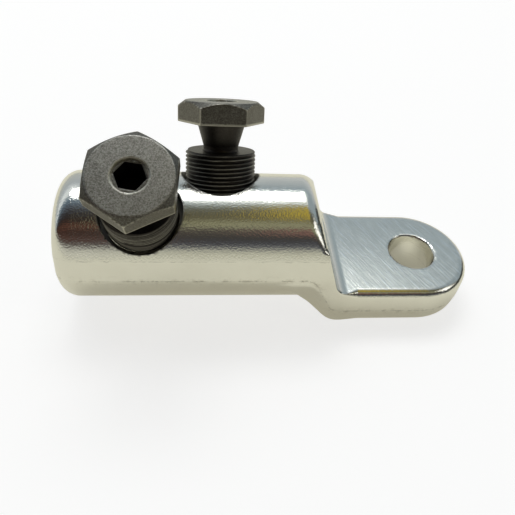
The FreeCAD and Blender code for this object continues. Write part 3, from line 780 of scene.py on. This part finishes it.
def light_room():
    """The room's own dim light, which changes from overhead down to the table in front and
    from a dark left side to a brighter right one, with four patches of another tone."""
    world = bpy.data.worlds.new("room")
    bpy.context.scene.world = world
    world.use_nodes = True
    tree = world.node_tree
    start = Value(tree, None)
    way = start.out("ShaderNodeTexCoord")
    parts = start.node("ShaderNodeSeparateXYZ", Vector=way)
    x, y, z = (Value(tree, parts.outputs[axis]) for axis in range(3))
    ragged = start.out("ShaderNodeTexNoise", Vector=way, Scale=7.0, Detail=4.0, Roughness=0.6) - 0.5
    lean = start.sum("ARCTAN2", 0 - y, z) / math.tau + 0.5 + ragged * 0.02
    seen = start.out("ShaderNodeValToRGB", {"stops": ROOM}, Fac=lean)
    left = (ragged * 0.2 - x).between(0.06, 0.2)
    seen = left.over(seen, start.out("ShaderNodeValToRGB", {"stops": ROOM_LEFT}, Fac=lean))
    far_right = x.between(0.24, 0.5) * lean.between(0.37, 0.39) * (1 - lean.between(0.47, 0.49))
    seen = far_right.over(seen, FAR_PATCH)
    beside = x.between(0.1, 0.18) * (1 - x.between(0.3, 0.45))
    overhead = beside * lean.between(0.465, 0.49) * (1 - lean.between(0.54, 0.56))
    seen = overhead.over(seen, TOP_PATCH)
    before = beside * lean.between(0.595, 0.61) * (1 - lean.between(0.62, 0.64))
    seen = (before * 0.8).over(seen, FORE_PATCH)
    low_right = x.between(0.8, 0.87) * (1 - z.between(0.28, 0.4))
    seen = low_right.over(seen, LOW_PATCH)
    to_camera = start.out("ShaderNodeLightPath")
    seen = to_camera.over(seen, WHITE)
    tree.links.new(seen.socket, tree.nodes["Background"].inputs["Color"])


def lay_floor():
    """A pale floor that camera and bright metal see a little brighter than the light makes it."""
    mesh = bpy.data.meshes.new("floor")
    mesh.from_pydata([(-20, -20, 0), (20, -20, 0), (20, 20, 0), (-20, 20, 0)], [], [(0, 1, 2, 3)])
    floor = bpy.data.objects.new("floor", mesh)
    bpy.context.scene.collection.objects.link(floor)
    material = bpy.data.materials.new("pale_floor")
    material.use_nodes = True
    tree = material.node_tree
    tree.nodes.clear()
    start = Value(tree, None)
    path = start.node("ShaderNodeLightPath")
    seen = Value(tree, path.outputs["Is Camera Ray"])
    mirrored = Value(tree, path.outputs["Is Glossy Ray"])
    matt = start.out("ShaderNodeBsdfDiffuse", Color=seen.over(FLOOR_TONE, FLOOR_SEEN))
    glow = start.out("ShaderNodeEmission", Color=seen.over(FLOOR_GLOW, WHITE),
                     Strength=seen * 0.725 + mirrored * 0.3)
    both = start.out("ShaderNodeAddShader", i0=matt, i1=glow)
    start.node("ShaderNodeOutputMaterial", Surface=both)
    mesh.materials.append(material)


def hang_softbox(name, place, width, height, strength, mirrored):
    """A soft rectangular lamp aimed at the lug, in metres, seen in bright metal or not."""
    lamp = bpy.data.lights.new(name, "AREA")
    lamp.shape = "RECTANGLE"
    lamp.size, lamp.size_y = width, height
    lamp.energy = strength * math.pi * width * height
    lit = bpy.data.objects.new(name, lamp)
    lit.location = place
    lit.rotation_euler = (Vector(place) - LAMPS_AIM).to_track_quat("Z", "Y").to_euler()
    lit.visible_glossy = mirrored
    bpy.context.scene.collection.objects.link(lit)


light_room()
lay_floor()
hang_softbox("rear_softbox", (-0.09, 0.42, 0.81), 0.52, 0.24, 4.2, True)
hang_softbox("side_softbox", (0.68, -0.2, 0.5), 0.3, 0.36, 1.2, True)
hang_softbox("room_lamp", (-0.4, 0.5, 1.2), 0.9, 0.7, 1.6, False)


# The camera, as fitted to the photograph's outline: its place in millimetres, its turn in
# degrees, and its focal length and centre in pixels of the square picture.
PICTURE = 515
SENSOR = 36
CAMERA_PLACE = (-60.19, -101.71, 119.84)
CAMERA_TURN = (-8.93, 42.96, 6.77)
CAMERA_FOCUS = 525.52
CAMERA_CENTRE = (263.79, 222.11)
azimuth, elevation, roll = (math.radians(angle) for angle in CAMERA_TURN)
back = Vector((
    math.sin(azimuth) * math.cos(elevation),
    -math.cos(azimuth) * math.cos(elevation),
    math.sin(elevation),
))
right = Vector((math.cos(azimuth), math.sin(azimuth), 0))
up = back.cross(right)
across = math.cos(roll) * right + math.sin(roll) * up
upright = math.cos(roll) * up - math.sin(roll) * right
turn = Matrix((across, upright, back)).transposed().to_4x4()
camera_data = bpy.data.cameras.new("camera")
camera_data.sensor_width = SENSOR
camera_data.lens = CAMERA_FOCUS / PICTURE * SENSOR
camera_data.shift_x = (PICTURE / 2 - CAMERA_CENTRE[0]) / PICTURE
camera_data.shift_y = (CAMERA_CENTRE[1] - PICTURE / 2) / PICTURE
camera_data.clip_start = 0.01
camera = bpy.data.objects.new("camera", camera_data)
bpy.context.scene.collection.objects.link(camera)
camera.matrix_world = Matrix.Translation(Vector(CAMERA_PLACE) * MM) @ turn
bpy.context.scene.camera = camera
bpy.context.scene.view_settings.view_transform = "Standard"
